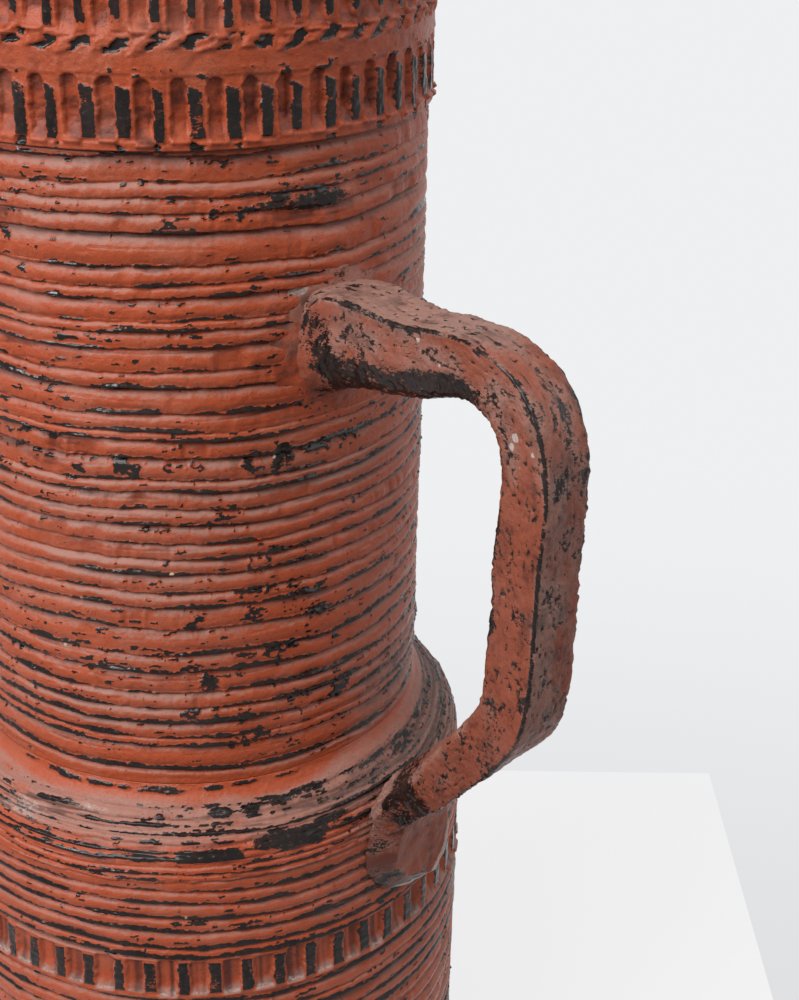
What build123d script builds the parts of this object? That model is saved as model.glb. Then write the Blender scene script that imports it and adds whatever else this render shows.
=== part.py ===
"""Tall stoneware jar of the hydria kind: ringed body and neck, stamped bands, one upright handle.

Millimetres, +Z up. The origin is the middle of the flat underside. The handle points along +X.
Every piece is a clay part as the potter makes it, butted to the next and luted with slip.
"""
import os
from math import cos, radians, sin

from build123d import *

# Heights of the thrown sections, stacked from the ground up
base_thickness = 12.0
body_height = 195.0
shoulder_height = 29.0
neck_height = 227.0
collar_height = 55.0
rim_height = 22.0

# Outer radius of the neck, the step out to the body, and the small differences from these
neck_radius = 88.6
neck_foot_inset = 2.3
shoulder_step = 16.9
body_top_inset = 0.7
body_foot_inset = 1.5
base_inset = 4.0
collar_rise = 1.2
throat_inset = 0.6
lip_rise = 3.0

# Walls behind the outer faces
body_wall = 10.5
neck_wall = 10.0

# Combed rings: a square undercut below each lip, running out to a plain land
ring_depth = 2.0
ring_run_out = 5.0
neck_ring_count = 5
upper_body_ring_count = 2
lower_body_ring_count = 2
foot_bevel = 3.0

# Stamped band of the body, between two lips
band_height = 17.0
band_drop = 33.0
band_margin = 1.5
band_lip_rise = 0.9
band_notch_count = 56
band_notch_width = 7.6
band_notch_height = 14.0

# Stamped collar: two rows of notches with a plain strip between them
collar_notch_count = 52
collar_notch_width = 7.0
collar_notch_height = 19.0
collar_row_gap = 8.5
collar_lower_margin = 4.5

# Every stamp gouges an upright panel, steep on one side and sloping on the other
notch_depth = 2.8
notch_keel_share = 0.3
notch_clear = 1.0

# Shoulder: rolled outer edge, sloping ledge, hollow foot of the neck
edge_run = 0.9
edge_rise = 6.0
roll_run = 3.8
roll_rise = 12.0
ledge_run = 7.8
ledge_rise = 17.2
hollow_outer_run = 5.7
hollow_outer_drop = 8.4
hollow_inner_run = 1.3
hollow_inner_drop = 2.8
shoulder_ceiling_drop = 20.5

# Lip of the rim
throat_height = 9.0
lip_flare_height = 5.0
lip_bevel = 3.5

# Handle bar: a square-cut loop from the neck to the edge of the shoulder
handle_width = 19.0
handle_depth = 19.5
handle_arris = 2.2
handle_gap = 84.0
handle_root_rise = 160.5
handle_arm_lift = 11.0
handle_elbow_rise = 64.0
handle_upper_bend = 22.0
handle_lower_bend = 26.0
handle_lean = 2.5
landing_depth = 7.0
landing_rise = 6.0
landing_turn = 5.0

# Splayed root of the handle, from the neck outwards
root_width = 33.0
root_depth = 40.0
root_arris = 7.0
root_bury = 7.0
throat_run = 20.0
throat_width = 26.0
throat_depth = 33.0
throat_lift = 5.0
throat_arris = 5.0
arm_run = 40.0
arm_width = 20.5
arm_depth = 24.5
arm_lift = 7.0
arm_arris = 3.0
bar_run = 62.0

# Clay smeared round the two ends of the handle
upper_pad_width = 39.0
upper_pad_height = 52.0
upper_pad_corner = 15.0
upper_pad_thickness = 3.0
lower_pad_radius = 20.5
lower_pad_sides = 12
lower_pad_bulge = 10.0
lower_pad_bevel = 4.0
lower_pad_turn = 10.5
lower_pad_drop = 9.0

# Levels and radii that follow from the sizes above
body_base = base_thickness
shoulder_base = body_base + body_height
neck_base = shoulder_base + shoulder_height
collar_base = neck_base + neck_height
rim_base = collar_base + collar_height
jar_height = rim_base + rim_height
neck_foot_radius = neck_radius - neck_foot_inset
neck_inner = neck_foot_radius - neck_wall
collar_radius = neck_radius + collar_rise
lip_radius = neck_radius + lip_rise
body_radius = neck_radius + shoulder_step
body_top_radius = body_radius - body_top_inset
body_inner = body_radius - body_wall
band_top = shoulder_base - band_drop
band_base = band_top - band_height
root_height = neck_base + handle_root_rise
root_radius = neck_foot_radius + neck_foot_inset * handle_root_rise / neck_height


def combed_wall(radius_low, radius_high, low, high, count):
    """Points going up a wall of plain lands, each cut in below the lip of the next."""
    pitch = (high - low) / count
    points = []
    for i in range(count):
        land = radius_low + (radius_high - radius_low) * i / max(count - 1, 1)
        foot = low + pitch * i
        points += [
            (land, foot),
            (land, foot + pitch - ring_run_out),
            (land - ring_depth, foot + pitch),
        ]
    return points


def stamp_planes(radius, level, count):
    """Level planes round the wall, one at the foot of each stamp."""
    planes = []
    for i in range(count):
        turn = radians(360.0 * i / count)
        sideways = (-sin(turn), cos(turn), 0)
        origin = (radius * cos(turn), radius * sin(turn), level)
        planes.append(Plane(origin=origin, x_dir=sideways, z_dir=(0, 0, 1)))
    return planes


def stamp_section(width):
    """Section of one stamp: a keel inside the wall, and two flanks that run on out of it."""
    reach = (notch_depth + notch_clear) / notch_depth
    keel = (notch_keel_share - 0.5) * width
    left = keel + (-width / 2 - keel) * reach
    right = keel + (width / 2 - keel) * reach
    return [(left, -notch_clear), (right, -notch_clear), (keel, notch_depth)]


def bar_section(width, depth, arris):
    """Section of the handle: a rectangle with its four arrises cut off."""
    side = width / 2
    face = depth / 2
    return [
        (-side, -face + arris),
        (-side + arris, -face),
        (side - arris, -face),
        (side, -face + arris),
        (side, face - arris),
        (side - arris, face),
        (-side + arris, face),
        (-side, face - arris),
    ]


# Base: a flat slab with a bevelled edge
with BuildPart() as base_slab:
    with BuildSketch(Plane.XZ):
        with BuildLine():
            Polyline(
                (0, 0),
                (body_radius - base_inset - foot_bevel, 0),
                (body_radius - base_inset, foot_bevel),
                (body_radius - base_inset, base_thickness),
                (0, base_thickness),
                close=True,
            )
        make_face()
    revolve(axis=Axis.Z)

# Body: combed wall with a stamped band between two lips
body_foot_radius = body_radius - body_foot_inset
band_lip_radius = body_radius + band_lip_rise
lower_rings = combed_wall(
    body_foot_radius,
    body_radius,
    body_base,
    band_base,
    lower_body_ring_count,
)
upper_rings = combed_wall(
    band_lip_radius,
    body_top_radius,
    band_top,
    shoulder_base,
    upper_body_ring_count,
)
with BuildPart() as body:
    with BuildSketch(Plane.XZ):
        with BuildLine():
            Polyline(
                (body_inner, body_base),
                *lower_rings,
                (body_radius, band_base),
                (body_radius, band_top),
                *upper_rings,
                (body_inner, shoulder_base),
                close=True,
            )
        make_face()
    revolve(axis=Axis.Z)
    with BuildSketch(*stamp_planes(body_radius, band_base + band_margin, band_notch_count)):
        with BuildLine():
            Polyline(*stamp_section(band_notch_width), close=True)
        make_face()
    extrude(amount=band_notch_height, mode=Mode.SUBTRACT)

# Shoulder: rolled edge, ledge and the hollow foot that takes the neck
with BuildPart() as shoulder:
    with BuildSketch(Plane.XZ):
        with BuildLine():
            Polyline(
                (body_inner, shoulder_base),
                (body_top_radius, shoulder_base),
                (body_top_radius - edge_run, shoulder_base + edge_rise),
                (body_top_radius - roll_run, shoulder_base + roll_rise),
                (body_top_radius - ledge_run, shoulder_base + ledge_rise),
                (neck_foot_radius + hollow_outer_run, neck_base - hollow_outer_drop),
                (neck_foot_radius + hollow_inner_run, neck_base - hollow_inner_drop),
                (neck_foot_radius, neck_base),
                (neck_inner, neck_base),
                (neck_inner, neck_base - shoulder_ceiling_drop),
                (body_inner, neck_base - shoulder_ceiling_drop),
                close=True,
            )
        make_face()
    revolve(axis=Axis.Z)

# Neck: a long combed cylinder, a little wider at the top
neck_rings = combed_wall(neck_foot_radius, neck_radius, neck_base, collar_base, neck_ring_count)
with BuildPart() as neck:
    with BuildSketch(Plane.XZ):
        with BuildLine():
            Polyline((neck_inner, neck_base), *neck_rings, (neck_inner, collar_base), close=True)
        make_face()
    revolve(axis=Axis.Z)

# Collar: two rows of stamps round a slightly thicker ring
lower_row = collar_base + collar_lower_margin
upper_row = lower_row + collar_notch_height + collar_row_gap
with BuildPart() as collar:
    with BuildSketch(Plane.XY.offset(collar_base)):
        Circle(collar_radius)
        Circle(neck_inner, mode=Mode.SUBTRACT)
    extrude(amount=collar_height)
    for row in (lower_row, upper_row):
        with BuildSketch(*stamp_planes(collar_radius, row, collar_notch_count)):
            with BuildLine():
                Polyline(*stamp_section(collar_notch_width), close=True)
            make_face()
        extrude(amount=collar_notch_height, mode=Mode.SUBTRACT)

# Rim: a plain throat under a bevelled lip
throat_radius = neck_radius - throat_inset
with BuildPart() as rim:
    with BuildSketch(Plane.XZ):
        with BuildLine():
            Polyline(
                (neck_inner, rim_base),
                (throat_radius, rim_base),
                (throat_radius, rim_base + throat_height),
                (lip_radius, rim_base + throat_height + lip_flare_height),
                (lip_radius, jar_height - lip_bevel),
                (lip_radius - lip_bevel, jar_height),
                (neck_inner, jar_height),
                close=True,
            )
        make_face()
    revolve(axis=Axis.Z)

# Thin smear of clay on the neck, under the root of the handle
with BuildPart() as upper_pad:
    with BuildSketch(Plane.XY.offset(root_height - upper_pad_height / 2)):
        Circle(root_radius + upper_pad_thickness)
        Circle(root_radius - neck_wall / 2, mode=Mode.SUBTRACT)
    extrude(amount=upper_pad_height)
    with BuildSketch(Plane.YZ) as smear:
        with Locations((0, root_height)):
            Rectangle(upper_pad_width, upper_pad_height)
        chamfer(smear.vertices(), upper_pad_corner)
    extrude(amount=root_radius + upper_pad_thickness, mode=Mode.INTERSECT)
    add(neck.part, mode=Mode.SUBTRACT)

# Thick pad under the lower end, pressed flat all round by the thumb and smeared to one side
pad_turn = radians(lower_pad_turn)
pad_back = body_top_radius - body_wall / 2
pad_plane = Plane(
    origin=(pad_back * cos(pad_turn), pad_back * sin(pad_turn), shoulder_base - lower_pad_drop),
    x_dir=(-sin(pad_turn), cos(pad_turn), 0),
    z_dir=(cos(pad_turn), sin(pad_turn), 0),
)
with BuildPart() as lower_pad:
    with BuildSketch(pad_plane):
        RegularPolygon(lower_pad_radius, lower_pad_sides)
    extrude(amount=body_wall / 2 + lower_pad_bulge)
    outer_face = lower_pad.faces().sort_by(Axis(pad_plane.origin, pad_plane.z_dir))[-1]
    chamfer(outer_face.edges(), lower_pad_bevel)
    add(body.part, mode=Mode.SUBTRACT)
    add(shoulder.part, mode=Mode.SUBTRACT)

# Handle: splayed root, level arm, upright grip and a sloping arm down to the shoulder's edge
grip_radius = root_radius + handle_gap + handle_depth / 2
arm_level = root_height + handle_arm_lift
landing_radius = body_top_radius - landing_depth
landing = (
    landing_radius * cos(radians(landing_turn)),
    landing_radius * sin(radians(landing_turn)),
    shoulder_base + landing_rise,
)
root_sections = [
    (-root_bury, 0, root_width, root_depth, root_arris),
    (throat_run, throat_lift, throat_width, throat_depth, throat_arris),
    (arm_run, arm_lift, arm_width, arm_depth, arm_arris),
    (bar_run, handle_arm_lift, handle_width, handle_depth, handle_arris),
]


def arm_plane(run, lift):
    """Upright plane across the upper arm, square to it, at a distance out from the neck."""
    return Plane(origin=(root_radius + run, 0, root_height + lift), x_dir=(0, 1, 0), z_dir=(1, 0, 0))


with BuildPart() as handle:
    for run, lift, width, depth, arris in root_sections:
        with BuildSketch(arm_plane(run, lift)):
            with BuildLine():
                Polyline(*bar_section(width, depth, arris), close=True)
            make_face()
    loft()
    with BuildLine() as handle_path:
        FilletPolyline(
            (root_radius + bar_run, 0, arm_level),
            (grip_radius, 0, arm_level),
            (grip_radius - handle_lean, 0, neck_base + handle_elbow_rise),
            landing,
            radius=[handle_upper_bend, handle_lower_bend],
        )
    with BuildSketch(arm_plane(bar_run, handle_arm_lift)):
        with BuildLine():
            Polyline(*bar_section(handle_width, handle_depth, handle_arris), close=True)
        make_face()
    sweep(path=handle_path.line)
    with Locations((0, 0, shoulder_base)):
        Cylinder(body_top_radius - ledge_run, 2 * shoulder_height, mode=Mode.SUBTRACT)
    for neighbour in (neck, upper_pad, shoulder, body, lower_pad):
        add(neighbour.part, mode=Mode.SUBTRACT)

# Finished pieces, one file each
pieces = {
    "base_slab": base_slab,
    "body": body,
    "shoulder": shoulder,
    "neck": neck,
    "collar": collar,
    "rim": rim,
    "upper_luting_pad": upper_pad,
    "lower_luting_pad": lower_pad,
    "handle": handle,
}
os.makedirs("parts", exist_ok=True)
for name, piece in pieces.items():
    piece.part.label = name
    export_step(piece.part, f"parts/{name}.step")
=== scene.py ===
"""Look of the ringed stoneware jar: red clay combed out of a black surface, dusty ledge and stamped bands.

Sizes are in millimetres until the meshes are made. Turns are in radians from the handle, round +Z.
A rise is measured along the outside of the wall, so that one relief runs on across the seams.
"""
import math

import bpy
import numpy as np
from mathutils import Matrix, Vector


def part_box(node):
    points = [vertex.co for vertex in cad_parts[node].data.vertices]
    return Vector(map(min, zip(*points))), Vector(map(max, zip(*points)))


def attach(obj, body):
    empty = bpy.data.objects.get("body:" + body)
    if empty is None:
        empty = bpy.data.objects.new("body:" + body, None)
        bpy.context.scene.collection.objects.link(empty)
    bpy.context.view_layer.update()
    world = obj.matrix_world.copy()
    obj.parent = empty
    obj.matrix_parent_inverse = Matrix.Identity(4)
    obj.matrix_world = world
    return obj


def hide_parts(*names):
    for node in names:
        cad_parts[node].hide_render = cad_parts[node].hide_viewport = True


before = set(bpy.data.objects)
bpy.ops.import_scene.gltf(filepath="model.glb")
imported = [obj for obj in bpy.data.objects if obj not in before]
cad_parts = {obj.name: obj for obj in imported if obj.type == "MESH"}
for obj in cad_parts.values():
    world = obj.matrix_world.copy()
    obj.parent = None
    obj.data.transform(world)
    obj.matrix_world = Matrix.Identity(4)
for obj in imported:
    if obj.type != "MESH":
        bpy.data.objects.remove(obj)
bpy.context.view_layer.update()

MM = 0.001
TAU = 2 * math.pi


def span(node):
    """Lower and upper end of a CAD node, in millimetres."""
    low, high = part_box(node)
    return low.z / MM, high.z / MM


def half_width(node):
    """Half the width of a CAD node across the handle, in millimetres."""
    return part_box(node)[1].y / MM


# Walls, and small steps between the clay sections
band_lip_rise = 0.9
neck_foot_inset = 2.3
body_wall = 10.5
neck_wall = 10.0
shoulder_ceiling_drop = 20.5

# Levels and radii of the clay sections
body_base, shoulder_base = span("body")
neck_base, collar_base = span("neck")
rim_base, jar_height = span("rim")
base_radius = half_width("base_slab")
body_radius = half_width("body") - band_lip_rise
body_top_radius = half_width("shoulder")
neck_radius = half_width("neck")
neck_foot_radius = neck_radius - neck_foot_inset
collar_radius = half_width("collar")
lip_radius = half_width("rim")
body_inner = body_radius - body_wall
neck_inner = neck_foot_radius - neck_wall
ceiling = neck_base - shoulder_ceiling_drop

# Fineness of the meshes: counts round each piece, and steps along it
COLUMNS = 1040
SLAB_COLUMNS = 520
BAR_COLUMNS = 170
PAD_SPOKES = 260
PAD_RINGS = 70
FINE = 0.42
MIDDLING = 0.5
COARSE = 0.85
INSIDE_STEP = 6.0
BAR_STEP = 0.7
UV_MARGIN = 0.002
NOISE_ROWS = 499

# Heights of the comb's lips that can be told apart in the photo
neck_lips = [
    230, 235, 240.5, 250.5, 254, 260, 266, 272.5, 281, 288, 298, 306, 312, 319.5, 325.5, 331.5,
    338.5, 344.5, 351, 355.5, 363.5, 370, 373, 379, 387, 392, 399.5, 405, 408.5, 416, 420, 426,
    436, 442, 447, 452, 460, 468,
]
upper_body_lips = [173.5, 177.5, 184.5, 190, 196.5, 202, 208, 214]

# Lips of the shoulder, measured along it from the top of the body
shoulder_lips = [-6, 1.2, 4.2, 7.2, 9.6, 12.2, 15.4, 18.4, 21.4, 24.6, 28.0, 34.0, 42.0]

# Stamped rows: foot and head of the panels, how many, and the shares of panel and black land in each
band_row = (157.0, 172.0)
band_count = 56
band_shares = (0.62, 0.38)
lower_row = (466.2, 484.6)
upper_row = (497.4, 516.0)
collar_count = 52
lower_shares = (0.47, 0.39)
upper_shares = (0.55, 0.28)

# Depth of the comb as a share of the ring's height, its limits, and the drop under each lip
comb_share = 0.3
comb_least = 0.9
comb_most = 2.8
comb_undercut = 0.5

# Roll of clay between two lips: height of its crest as a share, and how far it tucks in above the lip
roll_crest = 0.36
roll_tuck = 0.32

# Black strip on a lip: its most as a share of the ring, wear of a bare lip, bead's height and full width
strip_most = 0.55
lip_wear = 0.7
bead_height = 0.95
bead_strip = 1.3

# Rings of the lower body, which the photo cuts off, unevenly spaced as combed by hand
lower_body_lips = body_base + np.cumsum(np.random.default_rng(5).uniform(4.5, 9.0, 40))
lower_body_lips = lower_body_lips[lower_body_lips < band_row[0] - 8]
body_lips = [body_base - 6, *lower_body_lips, band_row[0] - 3.5, *upper_body_lips]

# Larger frayed scraps of black on the neck: turn in degrees, height, half width and half height
neck_blots = [
    (-23, 448, 9, 0.9), (-22, 444, 10, 1.6), (-37, 440, 2.5, 1.2), (-36, 406.5, 3, 1.5),
    (-60, 360, 4, 2.0), (-48, 359.5, 6, 3.0), (-38, 360.5, 3, 2.4), (-33, 359.5, 3, 1.4),
    (-21, 359.5, 3, 3.6), (-13, 359, 3.2, 4.0), (-1, 361, 10, 2.0), (-26, 342.5, 4, 2.4),
    (-18.5, 322, 3.5, 2.4), (-20, 312, 6, 1.8), (-20.5, 303.5, 4, 2.0), (-34.5, 300, 2, 2.4),
    (-19, 286, 7, 1.8), (-32, 279, 3.5, 2.8), (-33, 264, 5.5, 2.2), (1.5, 263, 3.8, 3.6),
    (-22, 262, 6, 1.6), (-24, 253, 7, 1.5),
]

# Scraps with smoother edges on the neck, and on the shoulder with places measured along it
neck_plates = [(-6.5, 444.5, 12, 2.8), (-13, 359, 2.6, 3.4)]
shoulder_plates = [
    (-79, 34.5, 4, 0.7), (-71.9, 34.2, 4, 0.8), (-67.3, 33.5, 5, 0.8), (-59.2, 33.8, 5, 0.9),
    (-53, 33.7, 2, 0.6), (-43.7, 33.5, 7, 1.1), (-31.7, 34.2, 3.5, 0.9), (-24.3, 34.8, 5, 1.0),
    (-15, 34.5, 4, 0.8), (-44, 23.8, 1.7, 1.2), (-30.5, 24.8, 3.6, 1.5), (-24.2, 25, 3, 1.8),
    (-17, 25.5, 4, 1.4), (-66, 25, 2, 0.8), (-10, 27, 5, 1.2), (-17, 12, 11, 2.6), (-8, 14, 6, 1.5),
]


def smooth(low, high, x):
    """Eased step from 0 at low to 1 at high."""
    t = np.clip((x - low) / (high - low), 0, 1)
    return t * t * (3 - 2 * t)


def hump(middle, reach, x):
    """Bell-shaped bump, 1 in its middle."""
    return np.exp(-(((x - middle) / reach) ** 2))


def from_handle(turn):
    """Turn counted both ways from the handle."""
    return (turn + math.pi) % TAU - math.pi


def turned(low, high, turn):
    """Eased step between two turns given in degrees from the handle."""
    return smooth(math.radians(low), math.radians(high), from_handle(turn))


def noise(turn, rise, cells, cell_height, seed):
    """Smooth noise from -1 to 1 on the unrolled wall, which closes on itself round the jar."""
    table = np.random.default_rng(seed).uniform(-1, 1, (NOISE_ROWS, cells))
    x = turn * (cells / TAU)
    y = rise / cell_height
    left = np.floor(x).astype(int)
    low = np.floor(y).astype(int)
    across = smooth(0, 1, x - left)
    up = smooth(0, 1, y - low)
    right = (left + 1) % cells
    left = left % cells
    high = (low + 1) % NOISE_ROWS
    low = low % NOISE_ROWS
    below = table[low, left] * (1 - across) + table[low, right] * across
    above = table[high, left] * (1 - across) + table[high, right] * across
    return below * (1 - up) + above * up


def layers(turn, rise, *given):
    """Sum of noises, each given as strength, cells round the jar, cell height and seed."""
    return sum(strength * noise(turn, rise, *how) for strength, *how in given)


def curve(points, spacing):
    """Smooth line through points, evenly spaced along their first two coordinates."""
    points = np.array(points, float)
    ends = np.vstack([2 * points[0] - points[1], points, 2 * points[-1] - points[-2]])
    t = np.linspace(0, 1, 60, endpoint=False)[:, None]
    parts = []
    for a, b, c, d in zip(ends[:-3], ends[1:-2], ends[2:-1], ends[3:]):
        parts.append(
            b
            + 0.5 * t * (c - a)
            + t**2 * (a - 2.5 * b + 2 * c - 0.5 * d)
            + t**3 * (1.5 * (b - c) + 0.5 * (d - a))
        )
    return respaced(np.vstack(parts + [points[-1:]]), spacing)


def distances(line):
    """Distance of each point along a line of points."""
    return np.concatenate([[0], np.cumsum(np.hypot(*np.diff(line[:, :2], axis=0).T))])


def respaced(line, spacing):
    """The same line with evenly spaced points."""
    length = distances(line)
    at = np.linspace(0, length[-1], max(2, round(length[-1] / spacing) + 1))
    return np.stack([np.interp(at, length, column) for column in line.T], axis=1)


def round_axis(radius, turn, height):
    """Grid of points round the jar's axis."""
    return np.stack([radius * np.cos(turn), radius * np.sin(turn), height], axis=2)


def placed(name, data):
    """New object in the scene."""
    item = bpy.data.objects.new(name, data)
    bpy.context.scene.collection.objects.link(item)
    return item


def grid_mesh(name, points, values, material, closed, flat_rows=()):
    """Mesh of a grid of points whose columns close round, and whose rows close too or end in caps."""
    rows, columns = points.shape[:2]
    vertices = points.reshape(-1, 3)
    row, column = np.meshgrid(np.arange(rows if closed else rows - 1), np.arange(columns), indexing="ij")
    row, column = row.ravel(), column.ravel()
    corner_rows = np.stack([row, row, row + 1, row + 1], axis=1)
    corner_columns = np.stack([column, column + 1, column + 1, column], axis=1)
    corners = (corner_rows % rows) * columns + corner_columns % columns
    u = UV_MARGIN + (1 - 2 * UV_MARGIN) * corner_columns / columns
    v = UV_MARGIN + (1 - 2 * UV_MARGIN) * corner_rows / rows
    loops = corners.ravel()
    starts = np.arange(len(corners)) * 4
    uv = np.stack([u.ravel(), v.ravel()], axis=1)
    if not closed:
        ring = np.arange(columns)
        first, last = len(vertices), len(vertices) + 1
        vertices = np.vstack([vertices, points[0].mean(0), points[-1].mean(0)])
        bottom = np.stack([np.roll(ring, -1), ring, np.full(columns, first)], axis=1)
        top_ring = ring + (rows - 1) * columns
        top = np.stack([top_ring, np.roll(top_ring, -1), np.full(columns, last)], axis=1)
        caps = np.vstack([bottom, top])
        starts = np.concatenate([starts, len(loops) + 3 * np.arange(len(caps))])
        loops = np.concatenate([loops, caps.ravel()])
        uv = np.vstack([uv, np.full((caps.size, 2), 1 - UV_MARGIN / 2)])
        values = {
            key: np.append(value.ravel(), [value[0].mean(), value[-1].mean()])
            for key, value in values.items()
        }
    mesh = bpy.data.meshes.new(name)
    mesh.vertices.add(len(vertices))
    mesh.vertices.foreach_set("co", (vertices * MM).astype(np.float32).ravel())
    mesh.loops.add(len(loops))
    mesh.loops.foreach_set("vertex_index", loops.astype(np.int32))
    mesh.polygons.add(len(starts))
    mesh.polygons.foreach_set("loop_start", starts.astype(np.int32))
    rounded = np.ones(len(starts), bool)
    rounded[:len(corners)] = ~np.isin(row, list(flat_rows))
    mesh.polygons.foreach_set("use_smooth", rounded)
    mesh.update(calc_edges=True)
    mesh.uv_layers.new(name="OFBake").data.foreach_set("uv", uv.astype(np.float32).ravel())
    for key, value in values.items():
        attribute = mesh.attributes.new(key, "FLOAT", "POINT")
        attribute.data.foreach_set("value", value.astype(np.float32).ravel())
    mesh.materials.append(material)
    return placed(name, mesh)


def seat(piece, node):
    """Fixes a finished piece to the jar in place of its CAD node."""
    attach(piece, "root")
    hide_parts(node)


def finish_values(glaze, dust_and_sheen, tone, ash=0.0):
    """Values for the material, kept between 0 and 1."""
    values = {"glaze": glaze, "dust_and_sheen": dust_and_sheen, "tone": tone, "ash": ash + 0 * tone}
    return {key: np.clip(value, 0, 1) for key, value in values.items()}


class Shading:
    """Short ways to add shader nodes and link them."""

    def __init__(self, owner):
        owner.use_nodes = True
        self.nodes = owner.node_tree.nodes
        self.link = owner.node_tree.links.new

    def value(self, key):
        """Value that the mesh carries under a name."""
        node = self.nodes.new("ShaderNodeAttribute")
        node.attribute_name = key
        return node.outputs["Fac"]

    def speckle(self, place, scale, detail, stretch):
        """Noise in space, squeezed upwards by a stretch."""
        mapping = self.nodes.new("ShaderNodeMapping")
        mapping.inputs["Scale"].default_value = (1, 1, stretch)
        self.link(place, mapping.inputs["Vector"])
        node = self.nodes.new("ShaderNodeTexNoise")
        node.inputs["Scale"].default_value = scale
        node.inputs["Detail"].default_value = detail
        node.inputs["Roughness"].default_value = 0.6
        self.link(mapping.outputs["Vector"], node.inputs["Vector"])
        return node.outputs["Fac"]

    def maths(self, operation, *given):
        """Result of one operation on two links or numbers."""
        node = self.nodes.new("ShaderNodeMath")
        node.operation = operation
        for socket, operand in zip(node.inputs, given):
            if isinstance(operand, (int, float)):
                socket.default_value = operand
            else:
                self.link(operand, socket)
        return node.outputs["Value"]

    def times(self, a, b):
        """Product of two links or numbers."""
        return self.maths("MULTIPLY", a, b)

    def plus(self, a, b):
        """Sum of two links or numbers."""
        return self.maths("ADD", a, b)

    def swing(self, given, strength):
        """Noise moved to lie both sides of zero."""
        return self.times(self.maths("SUBTRACT", given, 0.5), strength)

    def step(self, low, high, given, least=0, most=1):
        """Eased step of a link from least at low to most at high."""
        node = self.nodes.new("ShaderNodeMapRange")
        node.interpolation_type = "SMOOTHSTEP"
        limits = {"From Min": low, "From Max": high, "To Min": least, "To Max": most}
        for socket, limit in limits.items():
            node.inputs[socket].default_value = limit
        self.link(given, node.inputs["Value"])
        return node.outputs["Result"]

    def mix(self, share, a, b):
        """Mix of two colours or links."""
        node = self.nodes.new("ShaderNodeMix")
        node.data_type = "RGBA"
        self.link(share, node.inputs["Factor"])
        for socket, given in zip([s for s in node.inputs if s.type == "RGBA"], (a, b)):
            if isinstance(given, tuple):
                socket.default_value = (*given, 1)
            else:
                self.link(given, socket)
        return [s for s in node.outputs if s.type == "RGBA"][0]

    def looked_at(self):
        """1 where the camera sees a surface, straight or in a reflection or through something clear."""
        paths = self.nodes.new("ShaderNodeLightPath")
        seen_by = paths.outputs["Is Camera Ray"]
        for kind in ("Is Glossy Ray", "Is Transmission Ray"):
            seen_by = self.maths("MAXIMUM", seen_by, paths.outputs[kind])
        return seen_by

    def blend(self, share, first, second, output):
        """Mix of two shaders, sent to the output."""
        node = self.nodes.new("ShaderNodeMixShader")
        self.link(share, node.inputs["Fac"])
        self.link(first, node.inputs[1])
        self.link(second, node.inputs[2])
        self.link(node.outputs["Shader"], self.nodes[output].inputs["Surface"])


# Colours of the clay, the black surface and what has settled on them; the deepest red also gives painted
# shade in cuts and hollows, and the dust colours also give painted sheen
red = (0.305, 0.053, 0.0175)
red_light = (0.33, 0.095, 0.054)
red_deep = (0.085, 0.0145, 0.0065)
handle_red = (0.2, 0.048, 0.024)
handle_light = (0.26, 0.092, 0.062)
handle_deep = (0.07, 0.016, 0.009)
bare_light = (0.45, 0.15, 0.09)
bare_deep = (0.26, 0.06, 0.03)
pale_dust_and_sheen = (0.27, 0.143, 0.113)
brown_dust_and_sheen = (0.25, 0.145, 0.118)
deep_black = (0.0055, 0.0036, 0.003)
thin_black = (0.015, 0.011, 0.01)
brown_black = (0.038, 0.012, 0.008)
ash_white = (0.42, 0.35, 0.32)
pale_grit = (0.5, 0.36, 0.24)


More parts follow.
